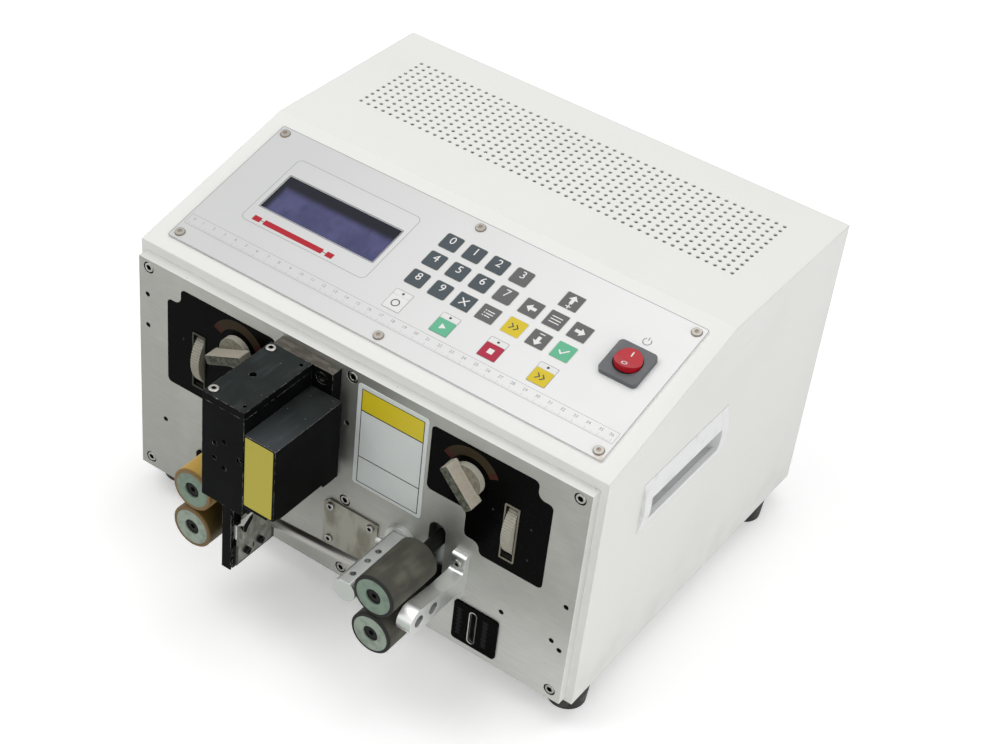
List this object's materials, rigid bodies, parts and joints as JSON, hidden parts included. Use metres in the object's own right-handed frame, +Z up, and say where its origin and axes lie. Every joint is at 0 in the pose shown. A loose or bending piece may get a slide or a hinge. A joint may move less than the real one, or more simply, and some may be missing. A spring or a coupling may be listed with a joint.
{
  "type": "wire stripping machine",
  "caption": "Benchtop wire cutting and stripping machine: sloped control panel, feed rollers, cutter head, wire tube and outlet guide on a plate.",
  "frame": {"origin": "middle of the bounding box, on the floor under the rubber feet", "axes": "+X to the right seen from the operator, +Y from the operator to the back, +Z up"},
  "size_m": [0.405, 0.4084, 0.2661],
  "materials": {
    "case_paint": "warm white powder coat, fine texture",
    "plate_aluminium": "brushed, matt",
    "machined_aluminium": "turned and milled, satin",
    "plain_steel": "bright, lightly brushed",
    "dark_steel": "darkened steel",
    "black_oxide": "black oxide with a bluish sheen",
    "blade_steel": "ground, bright edges",
    "black_panel": "gloss black",
    "rubber_black": "matt",
    "rubber_grey": "matt, worn",
    "urethane_amber": "amber urethane",
    "urethane_brown": "brownish urethane",
    "hub_green": "pale green anodised",
    "greige_plastic": "greige moulding",
    "handle_plastic": "light grey moulding",
    "panel_film": "printed polyester film",
    "lcd_glass": "dark blue-violet display",
    "bezel_grey": "grey moulding",
    "rocker_red": "gloss red",
    "black_plastic": "black moulding",
    "board_green": "solder resist"
  },
  "bodies": {
    "body": {"case_cover": "case_paint", "rear_panel": "case_paint", "base_pan": "case_paint", "feet": "rubber_black", "handle_left": "handle_plastic", "handle_right": "handle_plastic", "front_plate": "plate_aluminium", "front_screws": "plain_steel", "case_screws": "plain_steel", "window_panels": "black_panel", "wheel_brackets": "plain_steel", "index_plates": "black_panel", "bearing_blocks": "machined_aluminium", "feed_motors": "black_oxide", "head_mount_block": "black_oxide", "cutter_housing": "black_oxide", "cutter_lid": "black_oxide", "knife_motor": "black_oxide", "safety_cover": "black_oxide", "outlet_bracket": "machined_aluminium", "access_plate": "plain_steel", "pivot_boss": "machined_aluminium", "control_overlay": "panel_film", "lcd_window": "lcd_glass", "switch_bezel": "bezel_grey", "power_inlet": "black_plastic", "fan_frame": "black_plastic", "power_supply": "plain_steel", "control_board": "board_green"},
    "left_thumbwheel": {"thumbwheel_left": "greige_plastic"},
    "right_thumbwheel": {"thumbwheel_right": "greige_plastic"},
    "left_knob": {"knob_left": "greige_plastic", "cam_left": "plain_steel"},
    "right_knob": {"knob_right": "greige_plastic", "cam_right": "plain_steel"},
    "left_carrier": {"carrier_left": "machined_aluminium"},
    "right_carrier": {"carrier_right": "machined_aluminium"},
    "upper_left_roller": {"tyre_upper_left": "urethane_amber", "hub_upper_left": "hub_green", "shaft_upper_left": "dark_steel"},
    "lower_left_roller": {"tyre_lower_left": "urethane_brown", "hub_lower_left": "hub_green", "shaft_lower_left": "dark_steel"},
    "upper_right_roller": {"tyre_upper_right": "rubber_grey", "hub_upper_right": "hub_green", "shaft_upper_right": "dark_steel"},
    "lower_right_roller": {"tyre_lower_right": "rubber_grey", "hub_lower_right": "hub_green", "shaft_lower_right": "dark_steel"},
    "knife_screw_set": {"knife_screw": "plain_steel"},
    "knife_drive_set": {"knife_drive": "plain_steel"},
    "upper_knife": {"upper_knife_arm": "black_oxide", "upper_blade": "blade_steel"},
    "lower_knife": {"lower_knife_arm": "black_oxide", "lower_blade": "blade_steel", "lower_blade_screws": "dark_steel"},
    "wire_arm": {"swing_arm": "machined_aluminium", "wire_tube": "plain_steel"},
    "rocker": {"power_rocker": "rocker_red"},
    "fan": {"fan_rotor": "black_plastic"}
  },
  "joints": [
    {"name": "left_thumbwheel_turn", "type": "hinge", "parent": "body", "child": "left_thumbwheel", "pos_m": [-0.1366, -0.10085, 0.1532], "axis": [1, 0, 0], "continuous": true},
    {"name": "right_thumbwheel_turn", "type": "hinge", "parent": "body", "child": "right_thumbwheel", "pos_m": [0.1366, -0.10085, 0.1532], "axis": [1, 0, 0], "continuous": true},
    {"name": "left_knob_turn", "type": "hinge", "parent": "body", "child": "left_knob", "pos_m": [-0.1008, -0.11565, 0.1823], "axis": [0, 1, 0], "range_deg": [-1, 91]},
    {"name": "right_knob_turn", "type": "hinge", "parent": "body", "child": "right_knob", "pos_m": [0.1008, -0.11565, 0.1823], "axis": [0, -1, 0], "range_deg": [-1, 91]},
    {"name": "left_carrier_lift", "type": "slide", "parent": "body", "child": "left_carrier", "axis": [0, 0, 1], "range_m": [0, 0.008]},
    {"name": "right_carrier_lift", "type": "slide", "parent": "body", "child": "right_carrier", "axis": [0, 0, 1], "range_m": [0, 0.008]},
    {"name": "lower_left_roller_spin", "type": "hinge", "parent": "body", "child": "lower_left_roller", "pos_m": [-0.08, -0.11565, 0.076], "axis": [0, 1, 0], "continuous": true},
    {"name": "upper_left_roller_spin", "type": "hinge", "parent": "left_carrier", "child": "upper_left_roller", "pos_m": [-0.08, -0.11565, 0.111], "axis": [0, 1, 0], "continuous": true},
    {"name": "lower_right_roller_spin", "type": "hinge", "parent": "body", "child": "lower_right_roller", "pos_m": [0.08, -0.11565, 0.076], "axis": [0, 1, 0], "continuous": true},
    {"name": "upper_right_roller_spin", "type": "hinge", "parent": "right_carrier", "child": "upper_right_roller", "pos_m": [0.08, -0.11565, 0.111], "axis": [0, 1, 0], "continuous": true},
    {"name": "knife_screw_turn", "type": "hinge", "parent": "body", "child": "knife_screw_set", "pos_m": [-0.0493, -0.16955, 0.152], "axis": [0, 0, 1], "range_deg": [-5, 905]},
    {"name": "knife_drive_turn", "type": "hinge", "parent": "body", "child": "knife_drive_set", "pos_m": [-0.0493, -0.11565, 0.18], "axis": [0, 1, 0], "range_deg": [-5, 905]},
    {"name": "upper_knife_travel", "type": "slide", "parent": "body", "child": "upper_knife", "axis": [0, 0, -1], "range_m": [0, 0.005]},
    {"name": "lower_knife_travel", "type": "slide", "parent": "body", "child": "lower_knife", "axis": [0, 0, 1], "range_m": [-0.0001, 0.0051]},
    {"name": "wire_arm_swing", "type": "hinge", "parent": "body", "child": "wire_arm", "pos_m": [0.0518, -0.11565, 0.0948], "axis": [0, 1, 0], "range_deg": [-8, 12]},
    {"name": "power_rocker_tilt", "type": "hinge", "parent": "body", "child": "rocker", "pos_m": [0.1555, -0.0314, 0.25282], "axis": [1, 0, 0], "range_deg": [0, 20]},
    {"name": "fan_spin", "type": "hinge", "parent": "body", "child": "fan", "pos_m": [-0.11, 0.18435, 0.172], "axis": [0, 1, 0], "continuous": true}
  ],
  "couplings": [
    {"joint": "left_knob_turn", "follows": "left_carrier_lift", "rad_per_m": 196.35},
    {"joint": "right_knob_turn", "follows": "right_carrier_lift", "rad_per_m": 196.35},
    {"joint": "upper_left_roller_spin", "follows": "lower_left_roller_spin", "ratio": -1},
    {"joint": "upper_right_roller_spin", "follows": "lower_right_roller_spin", "ratio": -1},
    {"joint": "lower_knife_travel", "follows": "upper_knife_travel", "ratio": 1},
    {"joint": "knife_screw_turn", "follows": "upper_knife_travel", "rad_per_m": 3141.6},
    {"joint": "knife_drive_turn", "follows": "upper_knife_travel", "rad_per_m": 3141.6}
  ]
}
